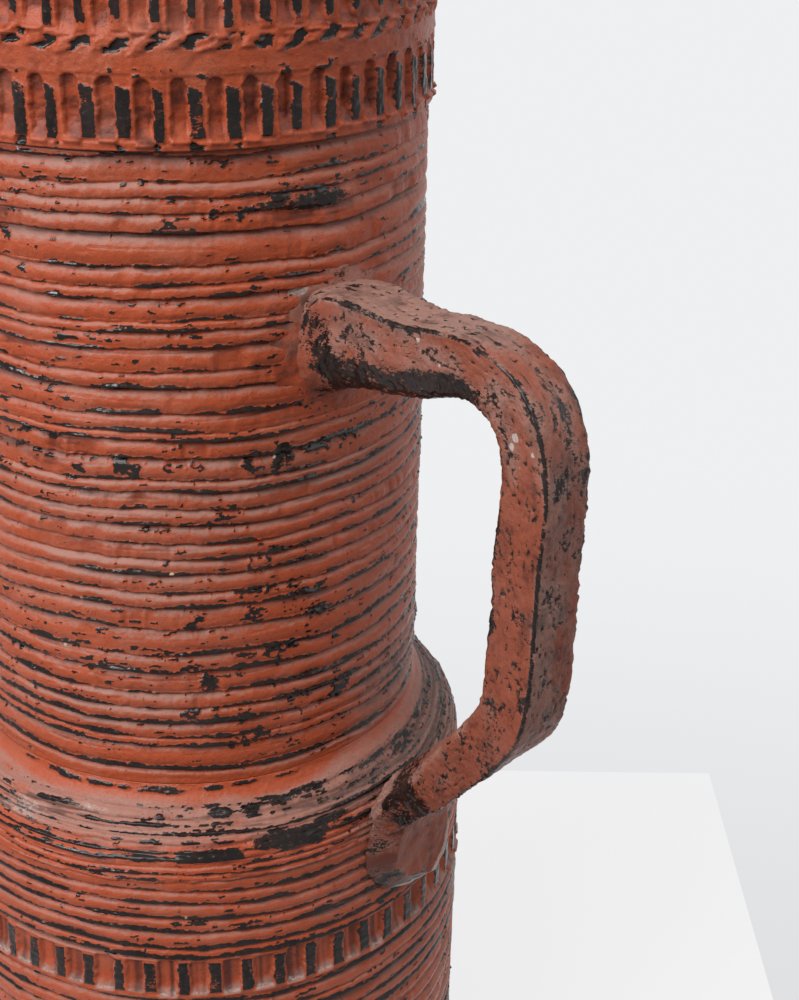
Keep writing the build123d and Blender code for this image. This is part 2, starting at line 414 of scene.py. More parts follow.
def stoneware(name, clay_red, light, deep, dust_and_sheen_colour, sheen):
    """Red clay under a worn black surface, with dust, painted sheen, painted shade and grit, laid on by the
    values of the mesh.
    """
    material = bpy.data.materials.new(name)
    shading = Shading(material)
    plus, times, step, mix, swing = shading.plus, shading.times, shading.step, shading.mix, shading.swing
    shader = shading.nodes["Principled BSDF"]
    place = shading.nodes.new("ShaderNodeTexCoord").outputs["Object"]

    cloudy = shading.speckle(place, 38, 3, 1)
    streaky = shading.speckle(place, 150, 4, 4)
    frayed = shading.speckle(place, 520, 5, 3)
    fine = shading.speckle(place, 1400, 3, 1.5)
    gritty = shading.speckle(place, 620, 4, 1)

    # Low tone turns the clay to the deep colour: random tone, and painted shade in cuts and hollows
    tone = plus(shading.value("tone"), swing(streaky, 0.45))
    clay = mix(step(0.0, 0.8, tone), deep, clay_red)
    clay = mix(times(step(0.48, 0.72, cloudy), 0.55), clay, light)
    clay = mix(times(step(0.58, 0.72, gritty), 0.4), clay, deep)
    clay = mix(times(step(0.58, 0.7, fine), 0.5), clay, deep)
    clay = mix(times(step(0.42, 0.3, fine), 0.4), clay, light)

    # Dust and painted sheen: a pale cast over the clay, made darker where the tone is low, as painted shade
    dust_and_sheen = plus(shading.value("dust_and_sheen"), swing(gritty, 0.8))
    dust_and_sheen = times(step(0.15, 0.9, dust_and_sheen), 0.8)
    deep_dust_and_sheen = tuple(0.4 * c for c in dust_and_sheen_colour)
    dusted_and_sheened = mix(dust_and_sheen, clay, mix(step(0.1, 0.8, tone), deep_dust_and_sheen, dust_and_sheen_colour))

    torn = plus(times(frayed, 0.55), times(fine, 0.45))
    glaze = step(0.38, 0.62, plus(shading.value("glaze"), swing(torn, 2.1)))
    black = mix(step(0.42, 0.66, cloudy), deep_black, thin_black)
    black = mix(times(step(0.5, 0.66, gritty), 0.6), black, brown_black)
    coated = mix(glaze, dusted_and_sheened, black)

    cells = shading.nodes.new("ShaderNodeTexVoronoi")
    cells.inputs["Scale"].default_value = 75
    shading.link(place, cells.inputs["Vector"])
    spot = step(0.075, 0.045, cells.outputs["Distance"])
    pale_spot = times(spot, step(0.6, 0.63, cloudy))
    pit = times(spot, step(0.45, 0.42, cloudy))
    ashy = step(0.35, 0.75, plus(shading.value("ash"), swing(torn, 1.2)))
    powdered = mix(times(ashy, 0.8), coated, ash_white)
    flecked = mix(pale_spot, powdered, pale_grit)
    shading.link(mix(pit, flecked, deep), shader.inputs["Base Color"])

    rough = plus(plus(sheen, times(dust_and_sheen, 0.15)), swing(fine, 0.3))
    rough = shading.maths("SUBTRACT", rough, times(glaze, 0.21))
    shading.link(rough, shader.inputs["Roughness"])
    shader.inputs["Specular IOR Level"].default_value = 0.21

    height = plus(times(fine, 0.8), times(gritty, 0.7))
    height = times(height, shading.maths("SUBTRACT", 1, times(glaze, 0.88)))
    height = plus(height, times(glaze, 0.7))
    bump = shading.nodes.new("ShaderNodeBump")
    bump.inputs["Strength"].default_value = 0.6
    bump.inputs["Distance"].default_value = 0.0004
    shading.link(height, bump.inputs["Height"])
    shading.link(bump.outputs["Normal"], shader.inputs["Normal"])
    return material


combed_clay = stoneware("combed_stoneware", red, red_light, red_deep, pale_dust_and_sheen, 0.36)
handle_clay = stoneware("handle_stoneware", handle_red, handle_light, handle_deep, brown_dust_and_sheen, 0.38)
bare_clay = stoneware("bare_clay", red_light, bare_light, bare_deep, pale_dust_and_sheen, 0.7)


def lumps(turn, rise):
    """Uneven roundness of the hand-built wall."""
    return layers(turn, rise, (0.55, 5, 110, 11), (0.25, 14, 38, 12), (0.12, 46, 12, 13))


def grain(turn, rise):
    """Grit and faint drag marks of the comb."""
    return layers(turn, rise, (0.05, 40, 1.3, 14), (0.07, 300, 1.5, 15), (0.06, 520, 1.0, 16))


def scratches(turn, height, seed):
    """Thin level lines that wander, run together and part again."""
    line = layers(turn, height, (1, 8, 2.6, seed), (0.14, 90, 3, seed + 1))
    faint = smooth(-0.5, 0.3, layers(turn, height, (1, 17, 5, seed + 2), (0.5, 120, 2, seed + 3)))
    return faint * smooth(0.2, 0.04, np.abs(line))


def lip_land(turn, lip, seed):
    """Width of the strip that the comb left on each lip; below zero the lip is worn down."""
    broad = [(0.75, 9, 1, seed), (0.9, 31, 1, seed + 1)]
    fine = [(0.6, 95, 1, seed + 2), (0.22, 330, 1, seed + 3)]
    return layers(turn, lip, *broad, *fine)


def comb(turn, height, lips, bias, seed):
    """Depth combed away, black left on the lips, distance above the lip and bead of glaze on it."""
    lips = np.array(lips)
    broad = [(2.5, 5, 60, seed), (1, 17, 22, seed + 1)]
    fine = [(0.3, 70, 7, seed + 2), (0.14, 240, 3, seed + 9)]
    level = height + layers(turn, height, *broad, *fine)
    above = np.clip(np.searchsorted(lips, level), 1, len(lips) - 1)
    pitches = np.diff(lips)
    depths = np.clip(comb_share * pitches, comb_least, comb_most)
    lip_depths = np.minimum(np.append(depths[:1], depths), np.append(depths, depths[-1:]))
    pitch = pitches[above - 1]
    depth = depths[above - 1]
    foot = np.clip(level - lips[above - 1], 0, None)
    head = np.clip(lips[above] - level, 0, None)
    land = bias + lip_land(turn, above - 1, seed + 3)
    next_land = bias + lip_land(turn, above, seed + 3)
    worn = lip_wear * lip_depths[above - 1] * smooth(0, -1.3, land)
    next_worn = lip_wear * lip_depths[above] * smooth(0, -1.3, next_land)
    strip = np.clip(land, 0, strip_most * pitch)
    fall = np.clip((foot - strip) / (pitch - strip - comb_undercut), 0, 1)
    upper_side = np.clip((fall - roll_crest) / (1 - roll_crest), 0, 1)
    lower_side = np.clip((roll_crest - fall) / roll_crest, 0, 1)
    tuck = roll_tuck * depth * smooth(-1.0, 0.2, land)
    outer = worn + (depth - worn) * upper_side**2 + tuck * lower_side**2
    under = next_worn + (depth - next_worn) * smooth(0, comb_undercut, head)
    ragged = layers(turn, height, (0.3, 240, 1.0, seed + 7), (0.25, 520, 0.6, seed + 8))
    black = smooth(-0.35, 0.3, strip - foot + ragged) * smooth(0.05, 0.35, land)
    black = np.maximum(black, smooth(0.45, 0.2, head) * smooth(0.05, 0.25, next_land))
    lean = np.clip(foot / (strip + 0.35), 0, 1)
    bead = bead_height * np.clip(strip / bead_strip, 0, 1) * (1 - lean**1.4)
    return np.minimum(outer, under), black, foot, bead


def scraps(turn, height, amount, seed):
    """Ragged level scraps of the first black surface, more of them where amount is high."""
    dash = layers(turn, height, (1, 90, 1.3, seed), (0.6, 260, 0.8, seed + 1), (0.4, 520, 0.6, seed + 2))
    return smooth(0.95, 1.2, dash + amount)


def blots(turn, height, places, fray):
    """Larger scraps placed as in the photo: turn in degrees, height, half width and half height."""
    ragged = layers(turn, height, (1.7, 70, 4, 71), (1.1, 150, 1.7, 72), (0.7, 420, 0.8, 73))
    mask = np.zeros_like(turn)
    for degrees, level, wide, tall in places:
        across = np.abs(from_handle(turn - math.radians(degrees))) * neck_radius
        reach = np.hypot(across / (1.25 * wide), (height - level) / (1.25 * tall))
        mask = np.maximum(mask, smooth(0.7, -0.6, (reach - 1) * min(wide, 1.5 * tall) + fray * ragged))
    holes = layers(turn, height, (1, 200, 1.3, 74), (0.8, 460, 0.8, 75))
    islands = layers(turn, height, (1, 110, 3.0, 76), (0.7, 300, 1.3, 77))
    gaps = smooth(-0.8, -0.45, holes) * smooth(-0.3, 0.05, islands)
    return mask * (1 - fray * (1 - gaps))


def stamps(turn, height, row, count, shares, arch, depth, seed):
    """One row of panels, arched above and scooped out below, with the uncut lands beside them."""
    chance = np.random.default_rng(seed).uniform(-1, 1, (4, count))
    cell = turn * (count / TAU) + 0.025 * noise(turn, height, 3 * count, 5, seed + 1)
    cell = cell + 0.035 * noise(turn, height, 9 * count, 1.7, seed + 2)
    index = np.floor(cell).astype(int)
    place = cell - index
    index = index % count
    panel_end = shares[0] * (1 + 0.08 * chance[0, index])
    land_end = np.minimum(panel_end + shares[1] * (1 + 0.2 * chance[1, index]), 0.99)
    foot = row[0] + 0.9 * chance[2, index]
    head = row[1] + 0.6 * chance[3, index]
    across = place / panel_end
    beside = (place - panel_end) / (land_end - panel_end)
    gap = smooth(0, 0.1, beside) * smooth(1, 0.9, beside)
    crown = head - arch * np.clip(np.abs(2 * across - 1), 0, 1) ** 3
    inside = smooth(0, 0.1, across) * smooth(1, 0.93, across) * smooth(0, 0.6, crown - height)
    inside = inside * smooth(-0.4, 0.5, height - foot)
    scoop = 0.1 + 0.9 * smooth(-0.5, 6, height - foot)
    land_top = head - arch * (1 + 0.9 * beside)
    land = gap * smooth(0, 0.5, land_top - height) * smooth(0, 0.5, height - foot)
    in_row = smooth(-1.2, -0.4, height - foot) * smooth(0.8, 0, height - head)
    rim = 0.4 * hump(0, 0.045, np.minimum(place, 1 - place)) * in_row
    burr = (1.0 + 0.6 * chance[0, index]) * smooth(-0.2, 0.1, across) * smooth(1.15, 0.9, across)
    burr = burr * hump(-0.5, 0.75, height - foot)
    shave = 0.4 * (1 - inside) * (1 - land) * in_row
    offset = rim + burr - shave - depth * inside * (0.7 + 0.3 * across) * scoop
    return offset, land, inside, gap


def painted_cut_shade(cut):
    """Painted shade: clay is made darker towards the bottom of a cut."""
    return 1 - 0.33 * np.clip(cut, 0, 2.2)


def inner_rows(inside):
    """Points down the plain inner face of a wall."""
    corners = np.array(inside, float)
    rows = []
    for a, b in zip(corners[:-1], corners[1:]):
        steps = max(1, round(np.hypot(*(b - a)) / INSIDE_STEP))
        rows.append(a + (b - a) * np.arange(steps)[:, None] / steps)
    return np.vstack(rows + [corners[-1:]])


def wall(name, outside, inside, start, spacing, relief, settled_and_sheen=0.6):
    """Ring-shaped piece: outside line upwards with its relief, inside line downwards, flat ends."""
    line = curve(outside, spacing)
    length = distances(line)
    tangent = np.gradient(line, axis=0)
    tangent /= np.hypot(*tangent.T)[:, None]
    inward = smooth(0, 3, np.minimum(length, length[-1] - length))
    lean_out = 1 + inward * (tangent[:, 1] - 1)
    lean_up = -inward * tangent[:, 0]
    turns = np.arange(COLUMNS) * (TAU / COLUMNS)
    turn, rise = np.meshgrid(turns, start + length)
    height = np.repeat(line[:, 1:], COLUMNS, axis=1)
    offset, values = relief(turn, rise, height)

    # Dust settles on what faces up, clear of the black; the same pale cast is painted sheen there, as if
    # those faces caught the light
    up_dust_and_sheen = smooth(0.05, 0.7, -np.gradient(offset, axis=0) / spacing)
    near_glaze = [np.roll(values["glaze"], shift, axis=0) for shift in (-2, -1, 0, 1, 2)]
    up_dust_and_sheen = up_dust_and_sheen * smooth(0.6, 0.2, np.maximum.reduce(near_glaze))
    values["dust_and_sheen"] = np.clip(values["dust_and_sheen"] + settled_and_sheen * up_dust_and_sheen, 0, 1)

    radius = line[:, :1] + offset * lean_out[:, None]
    height = height + offset * lean_up[:, None]
    back = inner_rows(inside)
    back_radius = np.repeat(back[:, :1], COLUMNS, axis=1)
    back_height = np.repeat(back[:, 1:], COLUMNS, axis=1)
    shares = np.array([0.25, 0.6])[:, None]
    top_radius = radius[-1] + (back_radius[0] - radius[-1]) * shares
    foot_radius = back_radius[-1] + (radius[0] - back_radius[-1]) * shares
    top_height = np.full_like(top_radius, line[-1, 1])
    foot_height = np.full_like(foot_radius, line[0, 1])
    all_radius = np.vstack([radius, top_radius, back_radius, foot_radius])
    all_height = np.vstack([height, top_height, back_height, foot_height])
    points = round_axis(all_radius, turns, all_height)
    rest = len(all_radius) - len(radius)
    plain = {"glaze": 0.0, "dust_and_sheen": 0.0, "tone": 0.35, "ash": 0.0}
    full = {key: np.vstack([value, np.full((rest, COLUMNS), plain[key])]) for key, value in values.items()}
    crown = len(radius) - 1
    sole = len(all_radius) - 3
    flat_rows = [crown, crown + 1, crown + 2, sole, sole + 1, sole + 2]
    seat(grid_mesh(name, points, full, combed_clay, True, flat_rows), name)


# Body: combed wall with one stamped band
def body_relief(turn, rise, height):
    """Rings below and above the band, with scraps of black on their lips."""
    cut, black, foot, bead = comb(turn, height, body_lips, 0.85, 121)
    amount = 0.35 * noise(turn, height, 9, 24, 128) + 0.25 * np.exp(-foot / 1.6) - 0.05
    specks = scraps(turn, height, amount, 124)
    cut = cut - np.minimum(cut, 0.4) * specks
    lines = scratches(turn, height, 126)
    pressed, land, panel, _ = stamps(turn, height, band_row, band_count, band_shares, 0.3, 2.3, 131)
    in_band = smooth(-2.2, -1.2, height - band_row[0]) * smooth(1.2, 0.3, height - band_row[1])
    drag = 0.3 * panel * noise(turn, height, 9 * band_count, 60, 133)
    ends = smooth(0, 6, height - body_base)
    offset = (pressed + drag) * in_band + (bead - cut - 0.15 * lines) * ends * (1 - in_band)
    offset = offset + lumps(turn, rise) + grain(turn, rise)
    worn = 0.95 + 0.4 * noise(turn, height, 150, 7, 134)
    flecks = 0.16 + 0.1 * noise(turn, height, 12, 20, 127)
    glaze = np.maximum.reduce([black, smooth(0.15, 0.5, specks), flecks]) * ends
    glaze = np.maximum(glaze * (1 - in_band), land * worn * in_band)
    scooped = panel * smooth(4, 0, height - band_row[0]) * in_band
    # Tone: painted shade in the cuts and darker scratch lines; in the band the stamped panels are painted
    # darker as shade in their hollows, and the drag marks lighter where they stand out and darker where they
    # sink, as painted light and shade
    tone = (painted_cut_shade(cut) - 0.4 * lines) * (1 - in_band) + (0.85 - 0.35 * panel + 2 * drag) * in_band
    return offset, finish_values(glaze, scooped, tone, 0.55 * scooped)


body_outline = [
    (body_radius - 4.5, body_base),
    (body_radius - 1.6, body_base + 3),
    (body_radius - 0.8, body_base + 30),
    (body_radius, band_row[0] - 40),
    (body_radius + 0.2, band_row[1]),
    (body_top_radius, shoulder_base),
]
body_inside = [(body_inner, shoulder_base), (body_inner, body_base)]
wall("body", body_outline, body_inside, body_base, MIDDLING, body_relief)

# Shoulder: rolled edge, sloping ledge and hollow foot of the neck
shoulder_line = [
    (body_top_radius, shoulder_base),
    (body_top_radius - 0.7, shoulder_base + 6),
    (body_top_radius - 3.6, shoulder_base + 12),
    (body_top_radius - 8.0, shoulder_base + 17),
    (neck_foot_radius + 5.6, neck_base - 8),
    (neck_foot_radius + 1.5, neck_base - 3.5),
    (neck_foot_radius + 0.25, neck_base - 1.3),
    (neck_foot_radius, neck_base),
]
measuring_step = 0.01
shoulder_length = len(curve(shoulder_line, measuring_step)) * measuring_step


def shoulder_relief(turn, rise, height):
    """Ringed edge with a broken band of black under a rope of glaze, dusty ledge and smooth hollow foot."""
    along = rise - shoulder_base
    side = turned(-35, 15, turn)
    left = turned(-35, -75, turn)
    behind = turned(-12, 10, turn)
    solid = turned(-53, -46, turn) * turned(4, -8, turn)
    band = smooth(6.8, 7.8, along) * smooth(12.6, 11.4, along)
    rope = hump(15.9, 1.5, along)
    ledge = smooth(12.5, 15, along)
    foot_end = smooth(shoulder_length - 6, shoulder_length - 10, along)
    bias = 0.15 + 0.6 * band + (0.8 + 0.8 * left) * rope - 0.1 * ledge - 0.6 * behind
    cut, black, foot, bead = comb(turn, along, shoulder_lips, bias, 51)
    amount = 0.45 * noise(turn, along, 14, 9, 58) + 0.3 * np.exp(-foot / 1.2) + 0.25 * side + 0.12
    specks = scraps(turn, along, amount, 59) * foot_end
    patches = blots(turn, along, shoulder_plates, 0.3)
    cut = (cut - np.minimum(cut, 0.4) * specks) * foot_end * smooth(0, 2.5, along)
    lines = np.maximum(scratches(turn, 1.4 * along, 56), scratches(turn, 1.9 * along, 152)) * foot_end
    torn = layers(turn, along, (1, 60, 3, 60), (0.7, 210, 1.2, 61)) - 0.5 * lines
    kept = band * solid * smooth(-0.5, -0.2, torn + 0.25 * noise(turn, along, 9, 8, 62))
    cut = cut * (1 - 0.7 * kept)
    flecks = (0.16 + 0.08 * ledge + 0.16 * behind) * smooth(shoulder_length, shoulder_length - 9, along)
    kept = kept * (0.8 + 0.3 * torn)
    glaze = np.maximum.reduce([black * foot_end, smooth(0.15, 0.5, specks), kept, patches, flecks])
    glaze = glaze * smooth(0, 1.5, along)
    offset = lumps(turn, rise) + grain(turn, rise) + bead * foot_end + 0.7 * patches - cut - 0.22 * lines
    powder = 0.85 + 0.4 * noise(turn, along, 50, 3, 57)
    reach = 28 + 3 * left + 7 * behind
    edge_of_dust = smooth(reach + 4, reach - 4, along + 2.5 * noise(turn, along, 9, 8, 64))
    dust_and_sheen = np.maximum(ledge, 0.7 * behind) * edge_of_dust * (powder + 0.3 * side) * smooth(0, 2, along)
    dust_and_sheen = dust_and_sheen * (1 - 0.5 * behind * smooth(23, 29, along))
    ash = ledge * smooth(30, 24, along) * (0.3 * noise(turn, along, 24, 5, 63) + 0.15 + 0.12 * left)
    shade = side * ledge * smooth(shoulder_length - 2, shoulder_length - 14, along)
    shade = np.maximum(shade, behind * smooth(shoulder_length, shoulder_length - 4, along))
    # Tone: painted shade in the cuts, darker scratch lines, a slightly darker ledge, and painted shade on the
    # ledge's right side and at the foot behind the handle
    tone = painted_cut_shade(cut) - 0.6 * lines - 0.1 * ledge * foot_end - 0.4 * shade
    return offset, finish_values(glaze, dust_and_sheen, tone, ash)


shoulder_inside = [
    (neck_inner, neck_base),
    (neck_inner, ceiling),
    (body_inner, ceiling),
    (body_inner, shoulder_base),
]
wall("shoulder", shoulder_line, shoulder_inside, shoulder_base, FINE, shoulder_relief)


# Neck: long combed cylinder
def neck_relief(turn, rise, height):
    """Combed rings, with scraps of the black surface left on their lips and lands."""
    towards_foot = 0.35 * smooth(400, 250, height)
    near_foot = 0.35 * smooth(275, 245, height)
    below_handle = 0.3 * smooth(0.92, 0.99, np.cos(turn + math.radians(4))) * smooth(380, 340, height)
    bias = 0.12 + towards_foot + near_foot + below_handle + 0.8 * hump(241, 2.5, height)
    cut, black, foot, bead = comb(turn, height, neck_lips, bias, 21)
    lifted = smooth(0.15, 0.6, noise(turn, height, 7, 19, 41))
    cut = cut * (1 - 0.4 * lifted)
    amount = 0.35 * noise(turn, height, 9, 24, 42) + 0.25 * np.exp(-foot / 1.6) + 0.3 * lifted - 0.02
    specks = scraps(turn, height, amount, 43)
    patches = np.maximum(blots(turn, height, neck_blots, 1.0), blots(turn, height, neck_plates, 0.35))
    cut = cut - np.minimum(cut, 0.4) * specks
    cut = cut - np.minimum(cut, 0.7) * patches
    foot_end = smooth(0, 4, height - neck_base)
    lines = scratches(turn, height, 46) * (1 - patches) * foot_end
    head_end = smooth(0, 2, collar_base - height)
    flecks = 0.16 + 0.1 * noise(turn, height, 12, 20, 48)
    thin = 0.85 + 0.3 * noise(turn, height, 110, 3, 49)
    glaze = np.maximum.reduce([black, smooth(0.15, 0.5, specks), thin * patches, flecks]) * foot_end
    cut = cut * foot_end * head_end + 1 - head_end
    offset = lumps(turn, rise) + grain(turn, rise) + bead * foot_end - cut - 0.15 * lines
    # Darker, dustier patch low on the right side of the neck
    low_right_darkening = smooth(0.9, 0.98, np.cos(turn - math.radians(28))) * smooth(285, 255, height)
    dust_and_sheen = (0.3 * smooth(0.2, 0.7, noise(turn, rise, 8, 30, 44)) + 0.45 * low_right_darkening) * foot_end
    # Tone: painted shade in the cuts, darker scratch lines and the darker patch low on the right
    return offset, finish_values(glaze, dust_and_sheen, painted_cut_shade(cut) - 0.4 * lines - 0.35 * low_right_darkening)


neck_outline = [
    (neck_foot_radius, neck_base),
    (neck_foot_radius + 0.9, neck_base + 75),
    (neck_foot_radius + 1.7, neck_base + 150),
    (neck_radius, collar_base),
]
neck_inside = [(neck_inner, collar_base), (neck_inner, neck_base)]
neck_start = shoulder_base + shoulder_length
wall("neck", neck_outline, neck_inside, neck_start, FINE, neck_relief)


# Collar: two rows of stamped panels
def collar_relief(turn, rise, height):
    """Black lands beside the panels, torn clods on the strip between the rows and a fringe below."""
    low, low_land, low_panel, gap = stamps(turn, height, lower_row, collar_count, lower_shares, 2.0, 2.6, 61)
    high, high_land, high_panel, _ = stamps(turn, height, upper_row, collar_count, upper_shares, 1.2, 2.4, 66)
    middle = 0.5 * (lower_row[1] + upper_row[0]) - 3
    upper = smooth(middle - 0.5, middle + 0.5, height)
    ragged = layers(turn, height, (1, 150, 2.4, 76), (0.6, 420, 1.0, 77))
    kept_fringe = smooth(-0.2, 0.3, noise(turn, 0 * height, 2 * collar_count, 1, 80))
    fringe = gap * smooth(-0.9, -1.7, height - lower_row[0] + 1.1 * ragged) * kept_fringe
    streaks = noise(turn, height, 6 * collar_count, 9, 87)
    low_black = low_land * (0.9 + 0.35 * ragged + 0.3 * streaks) * (1 - upper)
    high_black = high_land * smooth(0.5, 4, height - upper_row[0] + 2.2 * ragged) * upper
    below = height - upper_row[0] + 3.0 + 1.1 * noise(turn, 0 * height, collar_count, 1, 78)
    slanted = turn * (collar_count / TAU) - 0.085 * below + 0.14 * ragged
    clod = slanted - np.floor(slanted)
    torn_zone = smooth(3.0, 1.6, np.abs(below + 0.6 * ragged))
    hollows = smooth(0.4, 0.54, clod) * smooth(1.0, 0.88, clod) * torn_zone * smooth(-0.8, -0.3, ragged)
    lumpy = (0.8 * smooth(0.05, 0.2, clod) * smooth(0.6, 0.4, clod) - 0.8 * hollows) * torn_zone
    stray = smooth(0.5, 0.8, ragged) * smooth(2.8, 0.5, np.abs(height - lower_row[1] - 1)) * (1 - upper)
    flecks = 0.14 + 0.1 * noise(turn, height, 20, 6, 85)
    glaze = np.maximum.reduce([low_black, high_black, hollows, 0.8 * fringe, stray, flecks])
    ripple = 0.22 * noise(turn, height, 8 * collar_count, 4, 86) + 0.16 * ragged
    land = np.maximum(low_land * (1 - upper), high_land * upper)
    pressed = low * (1 - upper) + high * upper
    offset = pressed - 1.2 * fringe + lumpy + ripple * (0.35 + 0.65 * land) + 0.4 * stray
    offset = offset * smooth(0, 1, height - collar_base) + lumps(turn, rise) + grain(turn, rise)
    panel = np.maximum(low_panel * (1 - upper), high_panel * upper)
    dust_and_sheen = 0.05 + 0.25 * noise(turn, height, 60, 6, 84)
    # Stamped panels and the cut fringe below them are painted darker, as shade in these hollows
    tone = 0.76 - 0.3 * panel - 0.5 * fringe + 0.3 * noise(turn, height, 130, 3, 79) + 0.25 * ragged
    return offset, finish_values(glaze, dust_and_sheen, tone)


collar_outline = [(collar_radius, collar_base), (collar_radius, rim_base)]
collar_inside = [(neck_inner, rim_base), (neck_inner, collar_base)]
collar_start = neck_start + collar_base - neck_base
wall("collar", collar_outline, collar_inside, collar_start, FINE, collar_relief, 0.1)


# Rim: plain throat and bevelled lip
def rim_relief(turn, rise, height):
    """Faint rings, and worn black on the lip."""
    rings = 0.25 * noise(turn * 0, height, 3, 2.4, 81)
    fade = smooth(0, 3, height - rim_base)
    lip = smooth(jar_height - 9, jar_height - 4, height)
    glaze = scraps(turn, height, 0.25 + 0.5 * lip, 82)
    offset = rings * fade + lumps(turn, rise) + grain(turn, rise)
    return offset, finish_values(glaze, 0 * glaze, 0.7 + rings)


rim_outline = [
    (neck_radius - 0.6, rim_base),
    (neck_radius - 0.6, rim_base + 6),
    (lip_radius - 0.6, rim_base + 13),
    (lip_radius - 0.5, jar_height - 4.5),
    (lip_radius - 4.5, jar_height),
]
rim_inside = [(neck_inner + 2, jar_height), (neck_inner, jar_height - 2), (neck_inner, rim_base)]
rim_start = collar_start + rim_base - collar_base
wall("rim", rim_outline, rim_inside, rim_start, COARSE, rim_relief)

# Base slab: flat underside, worn edge and flat top
slab_line = np.vstack([
    curve([(1, 0), (base_radius - 3.4, 0)], 4),
    curve([(base_radius - 3, 0), (base_radius - 0.8, 0.8), (base_radius, 3)], 0.8),
    curve([(base_radius, 4), (base_radius, body_base)], 1.0),
    curve([(base_radius - 2, body_base), (1, body_base)], 6),
])
slab_turn, slab_height = np.meshgrid(np.arange(SLAB_COLUMNS) * (TAU / SLAB_COLUMNS), slab_line[:, 1])
slab_edge = smooth(base_radius - 3.2, base_radius - 2, slab_line[:, :1])
slab_wear = lumps(slab_turn, slab_height) + grain(slab_turn, slab_height) - 0.4
slab_radius = slab_line[:, :1] + slab_edge * slab_wear
slab_points = round_axis(slab_radius, slab_turn, slab_height)
slab_values = finish_values(0 * slab_turn, 0.3 + 0 * slab_turn, 0.6 + 0 * slab_turn)
seat(grid_mesh("base_slab", slab_points, slab_values, bare_clay, False), "base_slab")

# Handle stations: distance from the axis, height, depth, width, inner and outer arris, drift, roll in degrees
handle_stations = [
    (82, 397, 40, 36, 17, 17, 0, 0),
    (88.5, 398, 36.5, 32, 14, 13, 0, 0),
    (92, 399, 34, 29, 12, 9.5, 0, 0),
    (97, 400.5, 31.5, 26, 9.5, 5, 0, 0),
    (104, 401.5, 30, 24, 8, 2, 0, 0),
    (113, 402, 28, 22.5, 7, 1.5, 0, 0),
    (129, 403, 24.5, 21, 5.5, 1.5, 0, 0),
    (147, 406.5, 21, 19.5, 4, 1.5, 0, 0),
    (161, 407, 19.5, 19, 3.2, 1.5, 0, 0),
    (176, 400, 20, 19, 2.6, 1.5, 0, 0),
    (183, 382, 19.5, 19, 2.2, 1.5, 0, 0),
    (181.5, 352, 20, 19, 2.2, 1.5, 0, 0),
    (180.3, 315, 20, 19, 2.2, 1.5, 0, 0),
    (176, 296, 19.5, 19, 2.2, 1.5, 1, 0),
    (166, 282, 19, 19, 2.2, 1.6, 2.5, 5),
    (150, 264.5, 17, 19, 2.2, 1.8, 5, 14),
    (134, 247, 15, 19.5, 2.4, 2, 8, 22),
    (119, 231.5, 13.5, 20, 3, 2.5, 10.5, 26),
    (107, 219, 12.5, 21, 3, 3, 12.5, 28),
    (98, 210.5, 11, 21, 3, 3, 13.5, 28),
]

# Pale bubbles in the handle's glaze: distance from the axis, height and size
pale_bubbles = [
    (179.5, 394, 1.3),
    (178.3, 390.8, 1.1),
    (186.7, 390.9, 0.7),
    (138, 412.3, 0.8),
    (147.4, 406.8, 0.7),
]


def bar_section(depth, width, inner_arris, outer_arris):
    """Even points round a rectangle with its own inner and outer arrises, across and outwards."""
    corner = np.linspace(0, math.pi / 2, 9)
    points = []
    for quarter in range(4):
        sign_across = (1, -1, -1, 1)[quarter]
        sign_out = (1, 1, -1, -1)[quarter]
        arris = (outer_arris, outer_arris, inner_arris, inner_arris)[quarter]
        angle = corner + quarter * math.pi / 2
        points.append(np.stack([
            sign_across * (width / 2 - arris) + arris * np.cos(angle),
            sign_out * (depth / 2 - arris) + arris * np.sin(angle),
        ], axis=1))
    outline = np.vstack(points + [points[0][:1]])
    length = distances(outline)
    at = np.arange(BAR_COLUMNS) * length[-1] / BAR_COLUMNS
    return np.stack([np.interp(at, length, column) for column in outline.T], axis=1)


# Handle: its middle line, and its section at each step
bar_line = curve(handle_stations, BAR_STEP)
columns = [column[:, None] for column in bar_line.T]
bar_radius, bar_height, bar_depth, bar_width, _, _, bar_drift, bar_roll = columns
bar_roll = np.radians(bar_roll)
bar_tangent = np.gradient(bar_line[:, :2], axis=0)
bar_tangent /= np.hypot(*bar_tangent.T)[:, None]
bar_outward = np.stack([-bar_tangent[:, 1], bar_tangent[:, 0]], axis=1)
sections = np.stack([bar_section(*row[2:6]) for row in bar_line])
bar_across = sections[..., 0]
bar_out = sections[..., 1]
bar_turn, bar_rise = np.meshgrid(
    np.arange(BAR_COLUMNS) * (TAU / BAR_COLUMNS), np.arange(len(bar_line)) * BAR_STEP
)

# Handle: parts of its surface
outer_side = bar_out / (bar_depth / 2)
near_side = bar_across / (bar_width / 2)
arris_line = smooth(0.13, 0.04, np.abs(outer_side - 0.95)) * smooth(0.86, 0.96, np.abs(near_side))
under = smooth(-0.55, -0.95, outer_side)
top = smooth(0.75, 0.97, outer_side)
side = smooth(0.75, 0.95, np.abs(near_side))
upper_arm = smooth(370, 390, bar_height)
lower_arm = smooth(330, 280, bar_height)
grip = 1 - np.maximum(upper_arm, lower_arm)
root = smooth(105, 96, bar_radius) * upper_arm * smooth(0.85, 0.5, outer_side)
belly = upper_arm * smooth(182, 150, bar_radius) * smooth(88, 97, bar_radius)
belly = belly * smooth(0.15, -0.45, outer_side)
bend = smooth(150, 168, bar_radius) * smooth(300, 345, bar_height)
landing = lower_arm * smooth(140, 126, bar_radius) * smooth(106, 114, bar_radius)
smeared = lower_arm * smooth(116, 106, bar_radius)
beside_arris = top * smooth(-0.25, 0.25, near_side)

